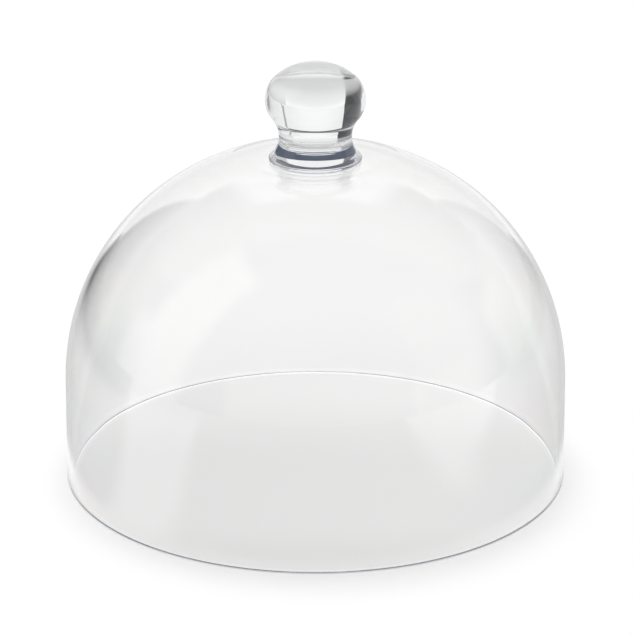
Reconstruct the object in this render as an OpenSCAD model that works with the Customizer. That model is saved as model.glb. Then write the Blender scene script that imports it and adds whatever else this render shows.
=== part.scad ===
// Clear food cover dome with a solid ball knob, bonded on the crown with clear adhesive.
// The origin is on the axis at the level of the rim, +Z points up through the knob.

/* [Dome] */
// Diameter of the dome over its rim
rim_d = 260; // [210:1:300]
// Thickness of the dome's wall
wall_t = 3; // [2:0.1:5]
// Height of the straight lower wall
wall_h = 53; // [20:1:80]
// Inward lean of the straight wall, in degrees
wall_draft = 0.76; // [0:0.01:2]
// Radius of the shoulder above the straight wall
shoulder_r = 121.4; // [105:0.1:140]
// Radius that fairs the shoulder into the flat seat of the knob
crown_r = 50; // [20:1:80]
// Extra thickness of the crown on its inside, under the knob
pad_t = 1; // [0.2:0.1:3]
// Distance of the thick pad's edge from the edge of the knob's foot
pad_inset = 6.6; // [5:0.1:12]
// Width of the slope from the pad to the crown
pad_slope = 5; // [2:0.1:8]
// Rounding of the two edges of the rim
rim_edge_r = 0.8; // [0.3:0.1:0.9]

/* [Knob] */
// Diameter of the ball at its widest ring
ball_d = 50.8; // [44:0.1:60]
// Radius of the ball's side in section
ball_side_r = 14.9; // [10:0.1:17]
// Height of the ball above its widest ring
ball_cap_h = 18.8; // [17.5:0.1:24]
// Height of the widest ring above the underside of the foot
ball_centre_h = 31.4; // [28:0.1:38]
// Diameter of the neck at its waist
neck_d = 37; // [30:0.1:40]
// Diameter of the foot
foot_d = 47.2; // [43:0.1:56]
// Thickness of the round edge of the foot
foot_edge_h = 1.6; // [1:0.1:3]
// Width of the flat ledge between the foot's round edge and the hollow of the neck
foot_ledge = 0.3; // [0.1:0.1:0.6]
// Flat of the crown left free round the foot
seat_land = 7.2; // [2:0.1:12]

/* [Bond] */
// Thickness of the adhesive film under the foot
bond_t = 0.1; // [0.05:0.05:0.5]
// Distance of the film's edge from the edge of the foot
bond_inset = 7.6; // [2:0.1:12]

/* [Hidden] */

// Fineness of the round forms
$fn = 180;
// Largest distance between an arc of a section and its chords
arc_sag = 0.02;

// Radii of the round pieces
rim_r = rim_d / 2;
foot_r = foot_d / 2;
ball_r = ball_d / 2;
neck_r = neck_d / 2;
bond_r = foot_r - bond_inset;
pad_r = foot_r - pad_inset;

// Centre of the shoulder's arc, which is tangent to the leaning wall at wall_h
shoulder_x = rim_r - wall_h * tan(wall_draft) - shoulder_r * cos(wall_draft);
shoulder_z = wall_h - shoulder_r * sin(wall_draft);
inner_r = shoulder_r - wall_t;

// Flat of the crown, and the arc that fairs it into the shoulder
flat_r = max(foot_r + seat_land, shoulder_x);
fair_angle = asin((flat_r - shoulder_x) / (shoulder_r - crown_r));
crown_z = shoulder_z + (shoulder_r - crown_r) * cos(fair_angle);
seat_z = crown_z + crown_r;
ceiling_z = seat_z - wall_t;

// Centres of the rim's two edge roundings, each tangent to the underside and to its side of the wall
rim_out_x = rim_r - rim_edge_r * (1 + sin(wall_draft)) / cos(wall_draft);
rim_in_x = rim_r - (wall_t - rim_edge_r + rim_edge_r * sin(wall_draft)) / cos(wall_draft);

// Underside of the knob on its film of adhesive, and the widest ring of its ball
knob_z = seat_z + bond_t;
ball_z = knob_z + ball_centre_h;

// Arcs of the ball: the side, and the cap whose centre lies on the axis
side_x = ball_r - ball_side_r;
cap_rise = ball_cap_h - ball_side_r;
cap_r = (pow(side_x, 2) + pow(ball_cap_h, 2) - pow(ball_side_r, 2)) / (2 * cap_rise);
cap_angle = atan2(cap_r - ball_cap_h, side_x);

// Hollow arc of the neck: it touches the waist, is tangent to the ball's side and ends on the foot's ledge
edge_r = foot_edge_h / 2;
edge_x = foot_r - edge_r;
flare_x = edge_x - foot_ledge;
spread = (ball_r - neck_r) / (flare_x - neck_r);
waist_a = spread - 1;
waist_b = 2 * (ball_centre_h - spread * foot_edge_h);
waist_c = spread * (pow(foot_edge_h, 2) + pow(flare_x - neck_r, 2)) - pow(ball_centre_h, 2)
    - pow(neck_r - side_x, 2) + pow(ball_side_r, 2);
waist_root = sqrt(waist_b * waist_b - 4 * waist_a * waist_c);
waist_h = -2 * waist_c / (waist_b + waist_root);
hollow_r = (pow(flare_x - neck_r, 2) + pow(waist_h - foot_edge_h, 2)) / (2 * (flare_x - neck_r));
hollow_x = neck_r + hollow_r;
waist_z = knob_z + waist_h;
join_angle = atan2(ball_z - waist_z, hollow_x - side_x);
hollow_end = 180 + asin((waist_h - foot_edge_h) / hollow_r);

// Points along an arc about (x, z), from one angle to another, without the last point
function arc(x, z, r, from, to) =
    let (n = ceil(abs(to - from) / (2 * acos(1 - arc_sag / r))))
    [for (i = [0 : 1 : n - 1]) let (a = from + (to - from) * i / n) [x + r * cos(a), z + r * sin(a)]];

// Points along the slope of the pad, a half wave that meets the pad and the crown level
function slope() =
    [for (i = [1 : 1 : 15]) [pad_r + pad_slope * i / 16, ceiling_z - pad_t * (1 + cos(180 * i / 16)) / 2]];

// Section of the dome, up its outside and down its inside
function dome_section() = concat(
    arc(rim_out_x, rim_edge_r, rim_edge_r, -90, wall_draft),
    [[rim_out_x + rim_edge_r * cos(wall_draft), rim_edge_r * (1 + sin(wall_draft))]],
    arc(shoulder_x, shoulder_z, shoulder_r, wall_draft, 90 - fair_angle),
    arc(flat_r, crown_z, crown_r, 90 - fair_angle, 90),
    [[flat_r, seat_z], [0, seat_z], [0, ceiling_z - pad_t], [pad_r, ceiling_z - pad_t]],
    slope(),
    [[pad_r + pad_slope, ceiling_z]],
    arc(flat_r, crown_z, crown_r - wall_t, 90, 90 - fair_angle),
    arc(shoulder_x, shoulder_z, inner_r, 90 - fair_angle, wall_draft),
    [[shoulder_x + inner_r * cos(wall_draft), shoulder_z + inner_r * sin(wall_draft)]],
    arc(rim_in_x, rim_edge_r, rim_edge_r, 180 + wall_draft, 270),
    [[rim_in_x, 0]]
);

// Section of the knob, from the middle of its underside to the top of its cap
function knob_section() = concat(
    [[0, knob_z]],
    arc(edge_x, knob_z + edge_r, edge_r, -90, 90),
    [[edge_x, knob_z + foot_edge_h]],
    arc(hollow_x, waist_z, hollow_r, hollow_end, 180 - join_angle),
    arc(side_x, ball_z, ball_side_r, -join_angle, cap_angle),
    arc(0, ball_z + ball_cap_h - cap_r, cap_r, cap_angle, 90),
    [[0, ball_z + ball_cap_h]]
);

// Moulded clear dome: rim, straight wall, shoulder and crown, with a flat seat and a thick pad for the knob
module dome_shell() {
    color([0.93, 0.95, 0.95, 0.35])
    rotate_extrude()
    polygon(dome_section());
}

// Solid clear knob: flattened ball, waisted neck and flared foot
module knob() {
    color([0.90, 0.92, 0.95, 0.6])
    rotate_extrude()
    polygon(knob_section());
}

// Thin film of cured adhesive between the foot and the crown
module knob_bond() {
    color([0.94, 0.96, 0.95, 0.4])
    translate([0, 0, seat_z])
    cylinder(h = bond_t, r = bond_r);
}

dome_shell();
knob();
knob_bond();
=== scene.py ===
"""Looks of a clear food cover dome with a ball knob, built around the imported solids.

Sizes of the pieces are in millimetres and become metres where a mesh is made. The studio is in metres.
Azimuths are in degrees from the camera's side of the cover, with 90 degrees to the camera's right.
"""

import logging
import math
from dataclasses import dataclass, field
from enum import Enum
from typing import Any, Optional, Union

import bpy
import numpy as np
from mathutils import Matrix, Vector


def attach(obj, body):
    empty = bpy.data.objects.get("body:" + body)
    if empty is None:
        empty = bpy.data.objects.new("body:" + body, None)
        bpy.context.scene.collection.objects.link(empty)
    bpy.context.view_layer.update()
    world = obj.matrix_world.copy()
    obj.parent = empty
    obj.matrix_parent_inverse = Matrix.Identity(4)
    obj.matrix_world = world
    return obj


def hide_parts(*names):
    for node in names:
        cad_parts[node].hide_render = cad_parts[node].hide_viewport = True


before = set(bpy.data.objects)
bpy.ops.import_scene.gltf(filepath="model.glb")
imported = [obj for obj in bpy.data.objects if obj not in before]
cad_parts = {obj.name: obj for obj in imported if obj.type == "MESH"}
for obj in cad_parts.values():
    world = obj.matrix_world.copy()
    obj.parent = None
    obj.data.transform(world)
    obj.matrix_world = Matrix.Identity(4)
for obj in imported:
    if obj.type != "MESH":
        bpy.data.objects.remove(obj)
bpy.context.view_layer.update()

log = logging.getLogger("food_cover")

MM = 0.001
PHOTO_SIDE = 634
SHARP_EDGE = math.radians(32)
SAME_POINT = 1e-6

Number = Union[int, float]
Colour = tuple[float, float, float]
Reach = tuple[float, float]

BLACK: Colour = (0.0, 0.0, 0.0)
WHITE: Colour = (1.0, 1.0, 1.0)


class Body(Enum):
    """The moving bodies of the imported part."""

    COVER = "root"


class Slot(Enum):
    """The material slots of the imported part."""

    DOME = "dome_plastic"
    KNOB = "knob_plastic"
    BOND = "bond_adhesive"


class RayPath(Enum):
    """What is known of a ray's path so far."""

    SEEN = "Is Camera Ray"
    SURFACES = "Ray Depth"
    SCATTERED = "Diffuse Depth"
    MIRRORED = "Glossy Depth"
    BENT = "Transmission Depth"


# Surfaces


@dataclass
class Surface:
    """A closed surface of four-sided and three-sided faces, in millimetres."""

    points: np.ndarray
    quads: np.ndarray
    triangles: np.ndarray

    def to_mesh(self, name: str) -> bpy.types.Mesh:
        """Puts the arrays into a mesh in metres, smooth but for its sharp edges.

        Args:
            name: the name of the mesh.

        Returns:
            The mesh.
        """
        mesh = bpy.data.meshes.new(name)
        corners = np.concatenate([self.quads.ravel(), self.triangles.ravel()]).astype(np.int32)
        sizes = np.repeat([4, 3], [len(self.quads), len(self.triangles)])
        starts = (np.cumsum(sizes) - sizes).astype(np.int32)
        mesh.vertices.add(len(self.points))
        mesh.vertices.foreach_set("co", (self.points * MM).astype(np.float32).ravel())
        mesh.loops.add(len(corners))
        mesh.loops.foreach_set("vertex_index", corners)
        mesh.polygons.add(len(sizes))
        mesh.polygons.foreach_set("loop_start", starts)
        mesh.update(calc_edges=True)
        mesh.validate()
        smooth_between_edges(mesh)
        return mesh


def smooth_between_edges(mesh: bpy.types.Mesh) -> None:
    """Shades a mesh smooth, and sharp where two faces meet at a steep angle."""
    mesh.shade_smooth()
    mesh.set_sharp_from_angle(angle=SHARP_EDGE)


def arc(centre: tuple[float, float], radius: float, start: float, stop: float, count: int) -> np.ndarray:
    """Points on an arc: the centre plus the radius times the cosine and sine of even angles.

    Args:
        centre: distance from the axis and height of the arc's centre.
        radius: radius of the arc.
        start: first angle in degrees.
        stop: last angle in degrees.
        count: number of points.

    Returns:
        An array of (distance from the axis, height).
    """
    angles = np.radians(np.linspace(start, stop, count))
    return np.array(centre) + radius * np.stack([np.cos(angles), np.sin(angles)], axis=1)


def line(start: tuple[float, float], stop: tuple[float, float], count: int) -> np.ndarray:
    """Points on a line: mixes of its two ends by a half cosine wave, so that they crowd at the ends.

    A round corner at an end then changes the shading of a short stretch only.

    Args:
        start: first point.
        stop: last point.
        count: number of points.

    Returns:
        An array of (distance from the axis, height).
    """
    share = 0.5 - 0.5 * np.cos(np.linspace(0, np.pi, count)[:, None])
    return (1 - share) * np.array(start) + share * np.array(stop)


def joined(*pieces: np.ndarray) -> np.ndarray:
    """Pieces of a profile end to end, with repeated points left out.

    Args:
        pieces: the arrays of points, in order.

    Returns:
        One array of points.
    """
    points = np.concatenate(pieces)
    step = np.linalg.norm(np.diff(points, axis=0), axis=1)
    return points[np.concatenate([[True], step > SAME_POINT])]


def lathe(profile: np.ndarray, turns: int) -> Surface:
    """Turns a profile about the Z axis: x is r cos t, y is r sin t and z is the height, t over one turn.

    The profile starts and ends on the axis, where its points become one pole each, and keeps the outside on
    its right.

    Args:
        profile: the (distance from the axis, height) of each row.
        turns: number of steps round the axis.

    Returns:
        The closed surface.
    """
    angle = np.linspace(0, 2 * np.pi, turns, endpoint=False)
    radius, height = profile[1:-1, :1], profile[1:-1, 1:]
    ring = np.stack([radius * np.cos(angle), radius * np.sin(angle), height + 0 * angle], axis=2)
    index = np.arange(radius.size * turns).reshape(-1, turns)
    below, above = index[:-1], index[1:]
    quads = np.stack([below, np.roll(below, -1, 1), np.roll(above, -1, 1), above], axis=2)
    first, last = index.size, index.size + 1
    start = np.stack([np.full(turns, first), np.roll(index[0], -1), index[0]], axis=1)
    end = np.stack([index[-1], np.roll(index[-1], -1), np.full(turns, last)], axis=1)
    poles = np.array([[0, 0, profile[0, 1]], [0, 0, profile[-1, 1]]])
    points = np.concatenate([ring.reshape(-1, 3), poles])
    return Surface(points, quads.reshape(-1, 4), np.concatenate([start, end]))


# Nodes


class NodeTree:
    """Adds nodes to the node tree of a material or of the world."""

    def __init__(self, owner: Union[bpy.types.Material, bpy.types.World]) -> None:
        """Starts with an empty tree.

        Args:
            owner: the material or the world.
        """
        owner.use_nodes = True
        self.tree = owner.node_tree
        self.tree.nodes.clear()

    def add(
        self, kind: str, settings: Optional[dict[str, Any]] = None,
        sockets: Optional[dict[Union[int, str], Any]] = None, output: Union[int, str] = 0,
    ) -> "Signal":
        """Adds one node, with its settings first and then what its sockets hold.

        Args:
            kind: the node's type.
            settings: values of the node's own properties.
            sockets: a value or a signal for each input, by name or place.
            output: the output to go on with, by name or place.

        Returns:
            The signal of that output.
        """
        node = self.tree.nodes.new(kind)
        for name, value in (settings or {}).items():
            setattr(node, name, value)
        for name, value in (sockets or {}).items():
            if isinstance(value, Signal):
                self.tree.links.new(value.socket, node.inputs[name])
            else:
                node.inputs[name].default_value = value
        return Signal(self, node.outputs[output] if node.outputs else None)

    def mix(self, low: Any, high: Any, share: Any) -> "Signal":
        """Mixes two colours on the colour sockets of a Mix node, which are at places 6 and 7.

        Args:
            low: the colour at share 0.
            high: the colour at share 1.
            share: a value or a signal.

        Returns:
            The mixed colour.
        """
        sockets = {0: share, 6: opaque(low), 7: opaque(high)}
        return self.add("ShaderNodeMix", {"data_type": "RGBA", "clamp_factor": False}, sockets, output=2)

    def along(self, vector: "Signal", axis: tuple[float, float, float]) -> "Signal":
        """How far a vector goes along an axis."""
        return self.add("ShaderNodeVectorMath", {"operation": "DOT_PRODUCT"}, {0: vector, 1: axis}, "Value")

    def noise(self, place: "Signal", scale: float, detail: float) -> "Signal":
        """A noise over the place."""
        return self.add("ShaderNodeTexNoise", None, {"Vector": place, "Scale": scale, "Detail": detail})

    def path(self, known: RayPath) -> "Signal":
        """One mark or count of the ray's path."""
        return self.add("ShaderNodeLightPath", output=known.value)


def opaque(colour: Any) -> Any:
    """A plain colour with an alpha of 1, or the signal as it is."""
    return colour if isinstance(colour, Signal) else (*colour, 1.0)


def between(low: Any, high: Any, share: Any) -> Any:
    """A mix of two values: low at share 0 and high at share 1."""
    return low + (high - low) * share


class Signal:
    """A socket that adds Math nodes when it is used in an expression."""

    def __init__(self, nodes: NodeTree, socket: Optional[bpy.types.NodeSocket]) -> None:
        """Keeps the tree and the socket."""
        self.nodes = nodes
        self.socket = socket

    def math(self, operation: str, first: Any, second: Any = 0.0) -> "Signal":
        """Adds one Math node on two numbers or signals."""
        return self.nodes.add("ShaderNodeMath", {"operation": operation}, {0: first, 1: second})

    def __add__(self, other: Any) -> "Signal":
        """The sum."""
        return self.math("ADD", self, other)

    def __sub__(self, other: Any) -> "Signal":
        """The difference."""
        return self.math("SUBTRACT", self, other)

    def __rsub__(self, other: Any) -> "Signal":
        """The difference from a number."""
        return self.math("SUBTRACT", other, self)

    def __mul__(self, other: Any) -> "Signal":
        """The product."""
        return self.math("MULTIPLY", self, other)

    def __truediv__(self, other: Any) -> "Signal":
        """The quotient."""
        return self.math("DIVIDE", self, other)

    def __rtruediv__(self, other: Any) -> "Signal":
        """The quotient of a number by it."""
        return self.math("DIVIDE", other, self)

    __radd__ = __add__
    __rmul__ = __mul__

    def size(self) -> "Signal":
        """The value without its sign."""
        return self.math("ABSOLUTE", self)

    def most(self, other: Any) -> "Signal":
        """The larger of two values."""
        return self.math("MAXIMUM", self, other)

    def least(self, other: Any) -> "Signal":
        """The smaller of two values."""
        return self.math("MINIMUM", self, other)

    def root(self) -> "Signal":
        """The square root."""
        return self.math("SQRT", self)

    def sine(self) -> "Signal":
        """The sine of an angle in radians."""
        return self.math("SINE", self)

    def step(self, low: Number, high: Number) -> "Signal":
        """Rises smoothly from 0 at low to 1 at high, or falls where low is above high.

        Args:
            low: the value that gives 0.
            high: the value that gives 1.

        Returns:
            The share.
        """
        edges = (low, high, 0.0, 1.0) if low < high else (high, low, 1.0, 0.0)
        names = ("From Min", "From Max", "To Min", "To Max")
        sockets = {"Value": self, **dict(zip(names, edges))}
        return self.nodes.add("ShaderNodeMapRange", {"interpolation_type": "SMOOTHSTEP"}, sockets)

    def at_least(self, count: int) -> "Signal":
        """1 where a whole number is the count or more, and 0 elsewhere."""
        return self.step(count - 0.6, count - 0.4)

    def below(self, count: int) -> "Signal":
        """1 where a whole number is less than the count, and 0 elsewhere."""
        return self.step(count - 0.4, count - 0.6)

    def part(self, name: str) -> "Signal":
        """One of X, Y and Z of a vector."""
        return self.nodes.add("ShaderNodeSeparateXYZ", None, {0: self}, name)


# Seat of the knob


@dataclass(frozen=True)
class Seat:
    """The flat of the crown, the pad under it and the bond of the knob on it."""

    height: float = 169.02034
    flat: float = 30.8
    wall: float = 3.0
    bond: float = 0.1
    bond_radius: float = 16.0
    bond_steps: int = 10
    pad: float = 1.0
    pad_radius: float = 17.0
    pad_blend: float = 5.0
    edge_slack: float = 0.01
    level_slack: float = 0.02

    @property
    def knob(self) -> float:
        """Underside of the knob."""
        return self.height + self.bond

    @property
    def ceiling(self) -> float:
        """Inside of the crown around the pad."""
        return self.height - self.wall

    def wets(self, centres: np.ndarray) -> np.ndarray:
        """Which faces the adhesive wets: those between the seat and the knob's underside, within its edge.

        Args:
            centres: the middle of each face, in millimetres.

        Returns:
            True for each wetted face.
        """
        near = np.hypot(centres[:, 0], centres[:, 1]) < self.bond_radius - self.edge_slack
        above = centres[:, 2] > self.height - self.level_slack
        return near & above & (centres[:, 2] < self.knob + self.level_slack)


SEAT = Seat()


# Finishes


@dataclass(frozen=True)
class ClearPlastic:
    """A clear moulded plastic, with a trace of haze, faint stress colours where it has any, and a painted
    glow on long paths.
    """

    name: str
    tint: Colour
    index: float
    haze: float = 0.0
    haze_more: float = 0.01
    haze_spots: Reach = (0.52, 0.75)
    haze_scale: float = 160.0
    haze_detail: float = 4.0
    stress: float = 0.0
    stress_scale: float = 9.0
    stress_detail: float = 2.0
    stress_sides: Reach = (0.085, 0.115)
    band_pitch: float = 95.0
    band_sway: float = 9.0
    band_shifts: tuple[float, float, float] = (0.0, 2.1, 4.2)
    # painted glow: emission on rays that have met glow_depth or more surfaces
    glow: Colour = (0.0139, 0.0164, 0.0222)
    glow_depth: int = 8

    def material(self) -> bpy.types.Material:
        """Makes the material.

        Returns:
            The material, on Object coordinates.
        """
        made = bpy.data.materials.new(self.name)
        nodes = NodeTree(made)
        place = nodes.add("ShaderNodeTexCoord", output="Object")
        speck = nodes.noise(place, self.haze_scale, self.haze_detail)
        shader = nodes.add("ShaderNodeBsdfPrincipled", None, {
            "Base Color": self._stress_colour(nodes, place) if self.stress else opaque(self.tint),
            "Roughness": self.haze + self.haze_more * speck.step(*self.haze_spots),
            "IOR": self.index,
            "Transmission Weight": 1.0,
            # painted glow on long paths
            "Emission Color": self._painted_long_path_glow(nodes),
            "Emission Strength": 1.0,
        })
        nodes.add("ShaderNodeOutputMaterial", None, {"Surface": shader})
        return made

    def _painted_long_path_glow(self, nodes: NodeTree) -> Signal:
        """Painted glow: emission where a ray has met glow_depth or more surfaces, standing in for light that
        haze adds on long paths inside the plastic.
        """
        return nodes.mix(BLACK, self.glow, nodes.path(RayPath.SURFACES).at_least(self.glow_depth))

    def _stress_colour(self, nodes: NodeTree, place: Signal) -> Signal:
        """The tint with pale stress bands: a sine of height and a slow noise, shifted for each colour.

        Args:
            nodes: the material's nodes.
            place: the Object coordinates.

        Returns:
            The colour.
        """
        cloud = nodes.noise(place, self.stress_scale, self.stress_detail)
        phase = place.part("Z") * self.band_pitch + cloud * self.band_sway
        strength = self.stress * place.part("X").size().step(*self.stress_sides)
        bands = [
            value - strength * (0.5 + 0.5 * (phase + shift).sine())
            for value, shift in zip(self.tint, self.band_shifts)
        ]
        return nodes.add("ShaderNodeCombineColor", None, dict(enumerate(bands)))


@dataclass(frozen=True)
class WettedFace:
    """A face that adhesive wets: with no air behind it, it can't be seen."""

    name: str = "wetted_face"

    def material(self) -> bpy.types.Material:
        """Makes the material.

        Returns:
            The material, clear to all light.
        """
        made = bpy.data.materials.new(self.name)
        nodes = NodeTree(made)
        shader = nodes.add("ShaderNodeBsdfPrincipled", None, {"Base Color": opaque(WHITE), "Alpha": 0.0})
        nodes.add("ShaderNodeOutputMaterial", None, {"Surface": shader})
        return made


DOME_PLASTIC = ClearPlastic("clear_dome_plastic", (0.944, 0.944, 0.941), 1.57, stress=0.018)
KNOB_PLASTIC = ClearPlastic("clear_knob_plastic", (0.985, 0.99, 0.995), 1.49)
BOND_ADHESIVE = ClearPlastic("clear_adhesive", (0.98, 0.985, 0.98), 1.5, haze=0.01)


# Pieces


@dataclass
class Piece:
    """One piece of the cover: its names, what it rides on and its finish."""

    name: str
    node: str
    body: Body
    slot: Slot
    finish: ClearPlastic

    def surface(self) -> Surface:
        """The piece's surface."""
        raise NotImplementedError

    def build(self) -> bpy.types.Object:
        """Makes the object at the origin, with its place in its mesh.

        Returns:
            The new object.
        """
        made = bpy.data.objects.new(self.name, self.surface().to_mesh(self.name))
        bpy.context.scene.collection.objects.link(made)
        return made

    def dress(self, made: bpy.types.Object) -> None:
        """Gives the object its finish and its body, and hides the solid that it stands for.

        Args:
            made: the object from build.
        """
        mesh = made.data
        mesh.materials.append(self.finish.material())
        mesh.materials.append(WettedFace().material())
        centres = np.empty(3 * len(mesh.polygons), np.float32)
        mesh.polygons.foreach_get("center", centres)
        wetted = SEAT.wets(centres.reshape(-1, 3) / MM)
        mesh.polygons.foreach_set("material_index", wetted.astype(np.int32))
        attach(made, self.body.value)
        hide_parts(self.node)
        faces = sum(len(face.vertices) - 2 for face in mesh.polygons)
        log.info("%s: %d triangles, on %s", self.name, faces, self.body.value)


@dataclass
class Dome(Piece):
    """The moulded shell: rim, straight wall, shoulder and crown, with a flat seat for the knob."""

    rim: float = 130.0
    wall_height: float = 53.0
    draft: float = 0.76
    shoulder: float = 121.4
    crown: float = 50.0
    edge: float = 0.8
    turns: int = 280
    shoulder_steps: int = 72
    crown_steps: int = 24
    wall_steps: int = 30
    edge_steps: int = 14
    rim_steps: int = 8
    flat_steps: int = 6

    def surface(self) -> Surface:
        """Out along the ceiling, down the inside, round the rim, up the outside and in along the seat.

        Each side is a leaning line, two tangent arcs and a flat.

        Returns:
            The closed shell.
        """
        lean = math.radians(self.draft)
        centre = (
            self.rim - self.wall_height * math.tan(lean) - self.shoulder * math.cos(lean),
            self.wall_height - self.shoulder * math.sin(lean),
        )
        flat, seat = SEAT.flat, SEAT.height
        fair = math.degrees(math.asin((flat - centre[0]) / (self.shoulder - self.crown)))
        out_x = self.rim - self.edge * (1 + math.sin(lean)) / math.cos(lean)
        in_x = self.rim - (SEAT.wall - self.edge + self.edge * math.sin(lean)) / math.cos(lean)
        inside = arc(centre, self.shoulder - SEAT.wall, 90 - fair, self.draft, self.shoulder_steps)
        in_edge = arc((in_x, self.edge), self.edge, 180 + self.draft, 270, self.edge_steps)
        out_edge = arc((out_x, self.edge), self.edge, -90, self.draft, self.edge_steps)
        outside = arc(centre, self.shoulder, self.draft, 90 - fair, self.shoulder_steps)
        profile = joined(
            self._ceiling(),
            arc((flat, seat - self.crown), self.crown - SEAT.wall, 90, 90 - fair, self.crown_steps),
            inside,
            line(inside[-1], in_edge[0], self.wall_steps),
            in_edge,
            line(in_edge[-1], out_edge[0], self.rim_steps),
            out_edge,
            line(out_edge[-1], outside[0], self.wall_steps),
            outside,
            arc((flat, seat - self.crown), self.crown, 90 - fair, 90, self.crown_steps),
            line((flat, seat), (SEAT.bond_radius, seat), self.flat_steps),
            line((SEAT.bond_radius, seat), (0, seat), SEAT.bond_steps),
        )
        return lathe(profile, self.turns)

    def _ceiling(self) -> np.ndarray:
        """The inside of the crown: a flat pad under the knob, raised to the crown's flat along a cosine.

        Returns:
            An array of (distance from the axis, height).
        """
        share = np.linspace(0, 1, self.edge_steps)
        radius = SEAT.pad_radius + SEAT.pad_blend * share
        height = SEAT.ceiling - SEAT.pad * (0.5 + 0.5 * np.cos(np.pi * share))
        low, end = SEAT.ceiling - SEAT.pad, SEAT.pad_radius + SEAT.pad_blend
        return joined(
            line((0, low), (SEAT.pad_radius, low), SEAT.bond_steps),
            np.stack([radius, height], axis=1),
            line((end, SEAT.ceiling), (SEAT.flat, SEAT.ceiling), self.flat_steps),
        )


@dataclass
class Knob(Piece):
    """The solid knob: flattened ball, waisted neck and flared foot with a round edge."""

    ball: float = 25.4
    side: float = 14.9
    cap: float = 18.8
    centre_height: float = 31.4
    neck: float = 18.5
    foot: float = 23.6
    foot_edge: float = 1.6
    ledge: float = 0.3
    turns: int = 200
    foot_steps: int = 4
    edge_steps: int = 18
    side_steps: int = 56
    cap_steps: int = 40

    def surface(self) -> Surface:
        """Out along the underside and round the foot's edge, then up the outside to the top.

        The outside is a half-round edge, a hollow arc tangent to the ball's side, the side and the cap.

        Returns:
            The closed knob.
        """
        low, ball_z = SEAT.knob, SEAT.knob + self.centre_height
        side_x = self.ball - self.side
        cap = (side_x ** 2 + self.cap ** 2 - self.side ** 2) / (2 * (self.cap - self.side))
        cap_angle = math.degrees(math.atan2(cap - self.cap, side_x))
        edge = self.foot_edge / 2
        hollow, waist = self._hollow(side_x, self.foot - edge - self.ledge)
        hollow_x, waist_z = self.neck + hollow, low + waist
        meet = math.degrees(math.atan2(ball_z - waist_z, hollow_x - side_x))
        end = 180 + math.degrees(math.asin((waist - self.foot_edge) / hollow))
        profile = joined(
            line((0, low), (SEAT.bond_radius, low), SEAT.bond_steps),
            line((SEAT.bond_radius, low), (self.foot - edge, low), self.foot_steps),
            arc((self.foot - edge, low + edge), edge, -90, 90, self.edge_steps),
            arc((hollow_x, waist_z), hollow, end, 180 - meet, self.side_steps),
            arc((side_x, ball_z), self.side, -meet, cap_angle, self.side_steps),
            arc((0, ball_z + self.cap - cap), cap, cap_angle, 90, self.cap_steps),
        )
        return lathe(profile, self.turns)

    def _hollow(self, side_x: float, end_x: float) -> tuple[float, float]:
        """The neck's arc, which touches the waist, is tangent to the ball's side and ends on the foot.

        Args:
            side_x: distance of the side arc's centre from the axis.
            end_x: distance of the arc's lower end from the axis.

        Returns:
            The arc's radius, and the height of the waist above the foot's underside.
        """
        reach = end_x - self.neck
        spread = (self.ball - self.neck) / reach
        square = spread - 1
        linear = 2 * (self.centre_height - spread * self.foot_edge)
        rest = (
            spread * (self.foot_edge ** 2 + reach ** 2) - self.centre_height ** 2
            - (self.neck - side_x) ** 2 + self.side ** 2
        )
        waist = -2 * rest / (linear + math.sqrt(linear ** 2 - 4 * square * rest))
        return (reach ** 2 + (waist - self.foot_edge) ** 2) / (2 * reach), waist


@dataclass
class Bond(Piece):
    """The thin film of cured adhesive between the knob and the crown."""

    turns: int = 160
    edge_steps: int = 3

    def surface(self) -> Surface:
        """A flat disc that fills the gap between the seat and the knob's underside.

        Returns:
            The closed disc.
        """
        low, high, radius = SEAT.height, SEAT.knob, SEAT.bond_radius
        profile = joined(
            line((0, low), (radius, low), SEAT.bond_steps),
            line((radius, low), (radius, high), self.edge_steps),
            line((radius, high), (0, high), SEAT.bond_steps),
        )
        return lathe(profile, self.turns)


# Studio


def toward(azimuth: float, elevation: float) -> tuple[float, float, float]:
    """The direction at an azimuth and an elevation in degrees."""
    turn, lift = math.radians(azimuth), math.radians(elevation)
    return math.sin(turn) * math.cos(lift), -math.cos(turn) * math.cos(lift), math.sin(lift)


@dataclass(frozen=True)
class Panel:
    """A flat rectangle of the studio, far away, that lights or darkens one part of the surroundings."""

    azimuth: float
    elevation: float
    half_width: float
    half_height: float
    soft: float
    colour: Colour
    share: float = 1.0
    front: Reach = (0.0, 0.05)

    def mask(self, nodes: NodeTree, direction: Signal) -> Signal:
        """How much of the panel a direction meets: its point on the panel's plane is held against the sides.

        Args:
            nodes: the world's nodes.
            direction: the direction of the ray.

        Returns:
            A share from 0 to 1.
        """
        depth = nodes.along(direction, toward(self.azimuth, self.elevation))
        across = (nodes.along(direction, toward(self.azimuth + 90, 0)) / depth).size()
        along = (nodes.along(direction, toward(self.azimuth, self.elevation + 90)) / depth).size()
        inside = across.step(self.half_width + self.soft, self.half_width)
        inside = inside * along.step(self.half_height + self.soft, self.half_height)
        return inside * depth.step(*self.front) * self.share


@dataclass(frozen=True)
class LightRing:
    """A painted glow: a ring of emission on the floor at the rim, standing in for light that the rim
    gathers, seen by rays that have passed at least least_bends surfaces.
    """

    radius: float
    half_width: float
    level: float
    least_bends: int
    fade: float = 1.2

    def glow(self, far: Signal, bends: Signal) -> Signal:
        """The painted glow of the ring: its level within its half width, falling off over a fifth of it.

        Args:
            far: distance from the axis.
            bends: how many surfaces the ray has passed.

        Returns:
            The strength of the glow.
        """
        inside = (far - self.radius).size().step(self.half_width * self.fade, self.half_width)
        return inside * bends.at_least(self.least_bends) * self.level


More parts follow.
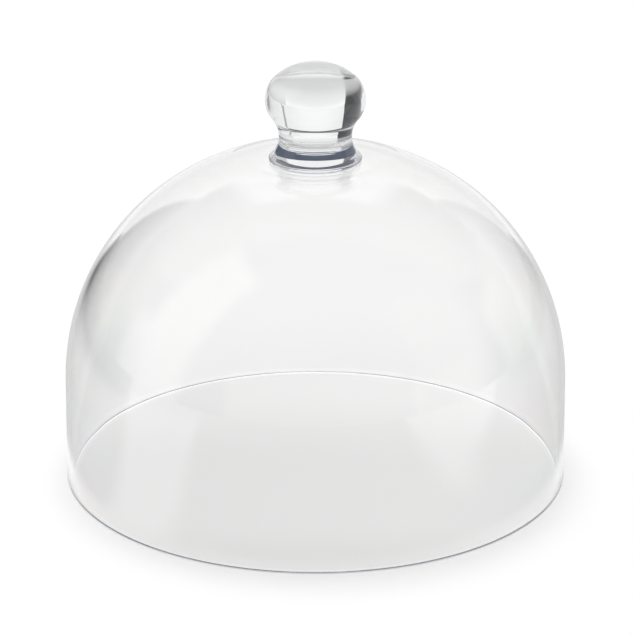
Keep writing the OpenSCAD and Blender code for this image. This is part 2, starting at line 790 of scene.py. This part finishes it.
@dataclass(frozen=True)
class PaintedSheet:
    """A painted white sheet: the band of floor behind the cover, widening away from it, that the plastic
    shows lighter than the floor beside it.
    """

    half_width: float
    edge: Reach
    widening: float = 0.47

    def beside(self, x: Signal, y: Signal) -> Signal:
        """0 on the sheet and 1 beside it."""
        return (x.size() - (y * self.widening).most(self.half_width)).step(*self.edge)


@dataclass(frozen=True)
class PaintedStrip:
    """A painted pale strip of floor at one side of the cover's front, with a slanted end, shown only in the
    plastic's mirror.
    """

    side: Reach
    front: Reach
    slope: float
    offset: float
    slant: Reach

    def mask(self, x: Signal, y: Signal) -> Signal:
        """1 on the strip and 0 off it."""
        slanted = (y + x * self.slope + self.offset).step(*self.slant)
        return x.step(*self.side) * y.step(*self.front) * slanted


@dataclass(frozen=True)
class PaintedMirroredFloor:
    """Painted reflection: the floor's levels in the plastic's mirror only, with a painted white sheet
    behind, painted grey near the cover and in front, painted white close to the rim and painted shade under
    the cover.

    Levels are shares from 0 to 1. A pair whose name holds "from" or "to" is where a step starts and ends.
    """

    # painted reflection levels of the floor
    near: float = 0.62
    white: float = 0.92
    white_from: Reach = (0.4, 1.2)
    sheet: PaintedSheet = PaintedSheet(0.15, (0.0, 0.1))
    left: float = 0.10
    right: float = 0.5
    right_from: Reach = (-0.1, 0.1)
    side_from: Reach = (0.55, 1.0)
    left_lead: float = 0.25
    left_from: Reach = (0.1, -0.1)
    front: float = 0.4
    front_from: Reach = (0.0, -0.1)
    # painted pale strips at the front sides, with their levels near and far
    painted_left_strip: PaintedStrip = PaintedStrip((0.0, -0.05), (-0.055, -0.085), -0.8, 0.04, (-0.02, 0.02))
    painted_right_strip: PaintedStrip = PaintedStrip((0.12, 0.18), (-0.1, -0.16), 1.2, 0.0, (-0.05, 0.05))
    strip: tuple[float, float] = (0.9, 0.61)
    strip_from: Reach = (0.3, 1.5)
    strip_left_from: Reach = (0.05, -0.05)
    white_to_rim: Reach = (0.15, 0.135)
    # painted shade under the cover
    under: float = 0.74
    under_from: Reach = (0.128, 0.126)

    def level(self, x: Signal, y: Signal, far: Signal) -> Signal:
        """How bright the floor is at a place, each part laid over those before it.

        Args:
            x: distance to the right.
            y: distance behind the cover's axis.
            far: distance from the axis.

        Returns:
            A share from 0 to 1.
        """
        behind = between(self.near, self.white, far.step(*self.white_from))
        distant = between(self.left, self.right, x.step(*self.right_from))
        turn = far + self.left_lead * x.step(*self.left_from)
        side = between(self.near, distant, turn.step(*self.side_from))
        level = between(behind, side, self.sheet.beside(x, y))
        level = between(level, self.front, y.step(*self.front_from))
        near_end, far_end = self.strip
        strip = between(near_end, far_end, far.step(*self.strip_from) * x.step(*self.strip_left_from))
        level = between(level, strip, self.painted_left_strip.mask(x, y).most(self.painted_right_strip.mask(x, y)))
        level = between(level, self.white, far.step(*self.white_to_rim))
        return between(level, self.under, far.step(*self.under_from))


@dataclass(frozen=True)
class PaintedBentFloor:
    """Painted levels of the floor as it shows through the knob, or through the cover's wall where the cover
    stands: a painted light sheet, painted dark sides, and painted shade under the cover.

    Levels are shares from 0 to 1. A pair whose name holds "from" is where a step starts and ends.
    """

    # painted levels near the cover and far off
    near: float = 0.84
    near_from: Reach = (0.36, 0.28)
    distant: float = 0.9
    fall: float = 0.3
    rise: float = 0.15
    rise_from: Reach = (0.9, 3.2)
    sheet: PaintedSheet = PaintedSheet(0.14, (-0.01, 0.03))
    # painted dark floor to the left, darker still close to the cover
    left: tuple[float, float] = (0.52, 0.05)
    left_from: Reach = (0.25, 1.4)
    corner: float = 0.8
    corner_width: float = 0.02
    right: float = 0.76
    right_from: Reach = (-0.1, 0.1)
    # painted shade under the cover, lighter towards the back and the right, darker at the front
    under: float = 0.94
    under_from: Reach = (0.132, 0.128)
    back_gain: float = 0.12
    back_from: Reach = (0.0, 0.11)
    front_loss: float = 0.06
    front_from: Reach = (-0.07, -0.12)
    right_gain: float = 0.25

    def level(self, x: Signal, y: Signal, far: Signal) -> Signal:
        """How bright the floor is at a place, each part laid over those before it.

        Args:
            x: distance to the right.
            y: distance behind the cover's axis.
            far: distance from the axis.

        Returns:
            A share from 0 to 1.
        """
        start = self.near_from[0]
        # the painted light sheet's level, rising away from the cover
        sheet = self.distant - self.fall * (start / far) + self.rise * far.step(*self.rise_from)
        sheet = between(sheet, self.near, far.step(*self.near_from))
        near_left, far_left = self.left
        left = between(near_left, far_left, far.step(*self.left_from))
        left = left * (1 - self.corner * far.step(start, start - self.corner_width))
        side = between(left, sheet.least(self.right), x.step(*self.right_from))
        level = between(sheet, side, self.sheet.beside(x, y))
        under = self.under * (1 + self.back_gain * y.step(*self.back_from))
        under = under * (1 - self.front_loss * y.step(*self.front_from)) * (1 + self.right_gain * x)
        return between(level, under, far.step(*self.under_from))


@dataclass
class Studio:
    """A white paper floor in even soft light, and the surroundings that the plastic mirrors and bends.

    Light that has met the floor sees even white surroundings. What is seen in the plastic is the set: a
    painted white sheet behind the cover, painted shade and painted glow on the floor around it, soft
    boxes at the sides and a dark room above.
    """

    floor_side: float = 30.0
    floor_rows: int = 9
    floor_drop: float = 0.00002
    floor_colour: Colour = (0.9, 0.9, 0.9)
    floor_glow: float = 0.06
    open_level: float = 0.9
    mirrored_floor: PaintedMirroredFloor = PaintedMirroredFloor()
    bent_floor: PaintedBentFloor = PaintedBentFloor()
    # painted shade on the floor through both walls, beside the cover and a little behind it, and beyond the
    # rim through the knob and the cover
    side_level: float = 0.88
    side_from: Reach = (0.095, 0.13)
    side_to: Reach = (0.3, 0.18)
    back_shade: float = 0.025
    back_to: Reach = (0.24, 0.14)
    behind_level: float = 0.6
    behind_from: Reach = (0.128, 0.132)
    room: Colour = (0.12, 0.13, 0.155)
    bent_room: Colour = (0.044, 0.047, 0.053)
    mirror_panels: tuple[Panel, ...] = field(default_factory=tuple)
    bent_panels: tuple[Panel, ...] = field(default_factory=tuple)
    rings: tuple[LightRing, ...] = field(default_factory=tuple)
    straight_below: Reach = (0.7, 0.6)
    guided_level: Colour = (0.95, 0.95, 0.95)
    guided_count: int = 5
    lamp_power: float = 13.6
    lamp_size: float = 0.85
    lamp_azimuth: float = -168.0
    lamp_elevation: float = 79.0
    lamp_distance: float = 2.5

    def build(self) -> None:
        """Makes the floor, the world and the lamp."""
        self._floor()
        self._world()
        self._lamp()

    def _lamp(self) -> None:
        """A large square soft box above and behind the cover, which gives the shadow in front."""
        ahead = Vector(toward(self.lamp_azimuth, self.lamp_elevation))
        data = bpy.data.lights.new("soft_box", "AREA")
        data.shape, data.size, data.energy = "SQUARE", self.lamp_size, self.lamp_power
        lamp = bpy.data.objects.new("soft_box", data)
        lamp.location = ahead * self.lamp_distance
        lamp.rotation_mode = "QUATERNION"
        lamp.rotation_quaternion = ahead.to_track_quat("Z", "Y")
        lamp.visible_camera = lamp.visible_glossy = lamp.visible_transmission = False
        bpy.context.scene.collection.objects.link(lamp)

    def _floor(self) -> None:
        """A large square at the level of the rim, on a grid of even steps."""
        half, rows = self.floor_side / 2, self.floor_rows
        steps = np.linspace(-half, half, rows)
        x, y = np.meshgrid(steps, steps, indexing="ij")
        points = np.stack([x, y, np.full_like(x, -self.floor_drop)], axis=2).reshape(-1, 3) / MM
        index = np.arange(rows * rows).reshape(rows, rows)
        corners = [index[:-1, :-1], index[1:, :-1], index[1:, 1:], index[:-1, 1:]]
        quads = np.stack(corners, axis=2).reshape(-1, 4)
        mesh = Surface(points, quads, np.zeros((0, 3), int)).to_mesh("studio_floor")
        floor = bpy.data.objects.new("studio_floor", mesh)
        bpy.context.scene.collection.objects.link(floor)
        mesh.materials.append(self._floor_material())

    def _floor_material(self) -> bpy.types.Material:
        """Matt white that takes shadow, with painted reflection and painted shade for mirrored and bent
        rays, and painted glow rings at the rim.

        A ray that is bent 2 or 3 times comes through the knob or one wall, 4 or 5 times through both walls,
        and more often through the knob and the cover.

        Returns:
            The material, on Object coordinates.
        """
        made = bpy.data.materials.new("floor_paper")
        nodes = NodeTree(made)
        place = nodes.add("ShaderNodeTexCoord", output="Object")
        x, y = place.part("X"), place.part("Y")
        far = (x * x + y * y).root()
        lit = nodes.path(RayPath.SCATTERED).below(1)
        mirrored = nodes.path(RayPath.MIRRORED).at_least(1) * lit
        bends = nodes.path(RayPath.BENT)
        direct = (1 - mirrored) * lit
        lens = bends.at_least(2) * bends.below(4) * direct
        walls = bends.at_least(4) * bends.below(6) * direct
        behind = bends.at_least(6) * direct
        # painted shade beside the cover for rays through both walls
        beside = x.size().step(*self.side_from) * far.step(*self.side_to)
        # the camera's even level, then painted reflection levels for mirrored rays and painted shade and
        # light for bent rays
        shades = (
            (nodes.path(RayPath.SEEN), self.open_level),
            (mirrored, self.mirrored_floor.level(x, y, far)),
            (lens, self.bent_floor.level(x, y, far)),
            (walls, 1 - (1 - self.side_level) * beside),
            (walls, 1 - self.back_shade * far.step(*self.back_to)),
            (behind, 1 - (1 - self.behind_level) * far.step(*self.behind_from)),
        )
        level = 1.0
        for share, shade in shades:
            level = (1 - (1 - shade) * share) * level
        paper = nodes.mix(BLACK, self.floor_colour, level)
        matt = nodes.add("ShaderNodeBsdfDiffuse", None, {"Color": paper})
        # painted glow: the floor's even glow at these levels, plus the painted rings at the rim
        floor_and_ring_glow = level * self.floor_glow
        for ring in self.rings:
            floor_and_ring_glow = floor_and_ring_glow + ring.glow(far, bends)
        glow = nodes.add("ShaderNodeEmission", None, {"Strength": lit * floor_and_ring_glow})
        both = nodes.add("ShaderNodeAddShader", None, {0: matt, 1: glow})
        nodes.add("ShaderNodeOutputMaterial", None, {"Surface": both})
        return made

    @staticmethod
    def _surroundings(nodes: NodeTree, direction: Signal, room: Colour, panels: tuple[Panel, ...]) -> Any:
        """The room with its panels, each over those before it.

        Args:
            nodes: the world's nodes.
            direction: the direction of the ray.
            room: the colour where there is no panel.
            panels: the panels, in order.

        Returns:
            The colour in that direction.
        """
        colour: Any = room
        for panel in panels:
            colour = nodes.mix(colour, panel.colour, panel.mask(nodes, direction))
        return colour

    def _world(self) -> None:
        """White for the camera and for light that has met the floor, and the set in what the plastic shows.

        Low rays straight through both walls see the white too. Rays that run round inside the plastic see
        the even level that it guides.
        """
        world = bpy.data.worlds.new("studio")
        bpy.context.scene.world = world
        nodes = NodeTree(world)
        direction = nodes.add("ShaderNodeTexCoord", output="Generated")
        turns = nodes.path(RayPath.MIRRORED)
        mirrored = turns.at_least(1)
        walls = nodes.path(RayPath.BENT).at_least(4)
        in_mirror = self._surroundings(nodes, direction, self.room, self.mirror_panels)
        bent = self._surroundings(nodes, direction, self.bent_room, self.bent_panels)
        colour = nodes.mix(bent, in_mirror, mirrored)
        straight = (1 - mirrored) * walls * direction.part("Z").step(*self.straight_below)
        colour = nodes.mix(colour, WHITE, straight)
        colour = nodes.mix(colour, self.guided_level, turns.at_least(self.guided_count))
        colour = nodes.mix(colour, WHITE, nodes.path(RayPath.SCATTERED).at_least(1))
        colour = nodes.mix(colour, WHITE, nodes.path(RayPath.SEEN))
        sky = nodes.add("ShaderNodeBackground", None, {"Color": colour, "Strength": 1.0})
        nodes.add("ShaderNodeOutputWorld", None, {"Surface": sky})


@dataclass
class PhotoCamera:
    """The camera at the photograph's viewing angle."""

    distance: float = 1560.0
    elevation: float = 21.3
    target_height: float = 83.2
    focal_pixels: float = 3025.8
    axis_pixels: float = -1.6
    sensor: float = 36.0
    clip: Reach = (0.05, 100.0)

    def build(self) -> None:
        """Stands back from the target along the viewing angle, a little to the right of the axis."""
        aside = -self.axis_pixels / self.focal_pixels * self.distance
        back = Vector(toward(0.0, self.elevation))
        data = bpy.data.cameras.new("photo_camera")
        data.sensor_width = self.sensor
        data.lens = self.focal_pixels / PHOTO_SIDE * self.sensor
        data.clip_start, data.clip_end = self.clip
        camera = bpy.data.objects.new("photo_camera", data)
        camera.location = (Vector((aside, 0.0, self.target_height)) + back * self.distance) * MM
        camera.rotation_mode = "QUATERNION"
        camera.rotation_quaternion = (-back).to_track_quat("-Z", "Y")
        bpy.context.scene.collection.objects.link(camera)
        bpy.context.scene.camera = camera


MIRROR_PANELS = (
    Panel(180.0, 52.0, 1.3, 0.5, 0.3, (0.36, 0.36, 0.37)),
    Panel(180.0, 38.0, 0.24, 0.31, 0.16, (0.92, 0.93, 0.95)),
    Panel(0.0, 10.0, 0.8, 0.2, 0.15, (0.5, 0.5, 0.5)),
    Panel(130.0, 9.0, 0.5, 0.2, 0.2, (0.6, 0.6, 0.61)),
    Panel(-130.0, 12.0, 0.35, 0.2, 0.2, (0.21, 0.21, 0.22)),
    Panel(180.0, 14.0, 0.5, 0.36, 0.06, (0.94, 0.94, 0.94)),
    Panel(-78.0, 29.0, 0.17, 0.62, 0.16, (0.7, 0.7, 0.7)),
    Panel(-88.0, 6.0, 0.2, 0.2, 0.16, (0.7, 0.7, 0.7), 0.8),
    Panel(62.0, 2.0, 0.25, 0.12, 0.2, (0.75, 0.75, 0.75)),
    Panel(70.0, 26.0, 0.2, 0.35, 0.25, (0.35, 0.35, 0.35), 0.6),
)
BENT_PANELS = (
    Panel(177.0, 8.0, 0.53, 0.3, 0.02, (0.9, 0.9, 0.9)),
    Panel(180.0, 6.0, 0.1, 0.12, 0.35, (1.0, 1.0, 1.0)),
    Panel(124.0, 12.0, 0.45, 0.36, 0.02, (0.92, 0.92, 0.925)),
    Panel(150.5, 15.0, 0.014, 0.24, 0.016, (0.4, 0.4, 0.41)),
)
# painted glow rings on the floor at the rim: the first brightens the contact line at the rim's outer edge
# for all rays from the camera or the plastic, the others show only through the plastic
RIM_RINGS = (
    LightRing(0.1298, 0.0008, 0.09, 0),
    LightRing(0.1285, 0.0015, 0.85, 1),
    LightRing(0.1258, 0.0012, 0.07, 1),
    LightRing(0.134, 0.0018, 0.05, 4),
)


def pieces() -> list[Piece]:
    """Lists the pieces of the cover.

    Returns:
        The dome, the knob and the bond between them.
    """
    return [
        Dome("clear_dome", "dome_shell", Body.COVER, Slot.DOME, DOME_PLASTIC),
        Knob("ball_knob", "knob", Body.COVER, Slot.KNOB, KNOB_PLASTIC),
        Bond("knob_bond", "knob_bond", Body.COVER, Slot.BOND, BOND_ADHESIVE),
    ]


def main() -> None:
    """Builds the camera, the studio and every piece."""
    logging.basicConfig(level=logging.INFO, format="%(name)s %(message)s")
    scene = bpy.context.scene
    scene.view_settings.view_transform = "Standard"
    scene.cycles.max_bounces = 24
    scene.cycles.transmission_bounces = 24
    scene.cycles.glossy_bounces = 12
    scene.cycles.transparent_max_bounces = 64
    scene.cycles.blur_glossy = 0.0
    PhotoCamera().build()
    Studio(mirror_panels=MIRROR_PANELS, bent_panels=BENT_PANELS, rings=RIM_RINGS).build()
    for piece in pieces():
        piece.dress(piece.build())


if __name__ == "__main__":
    main()
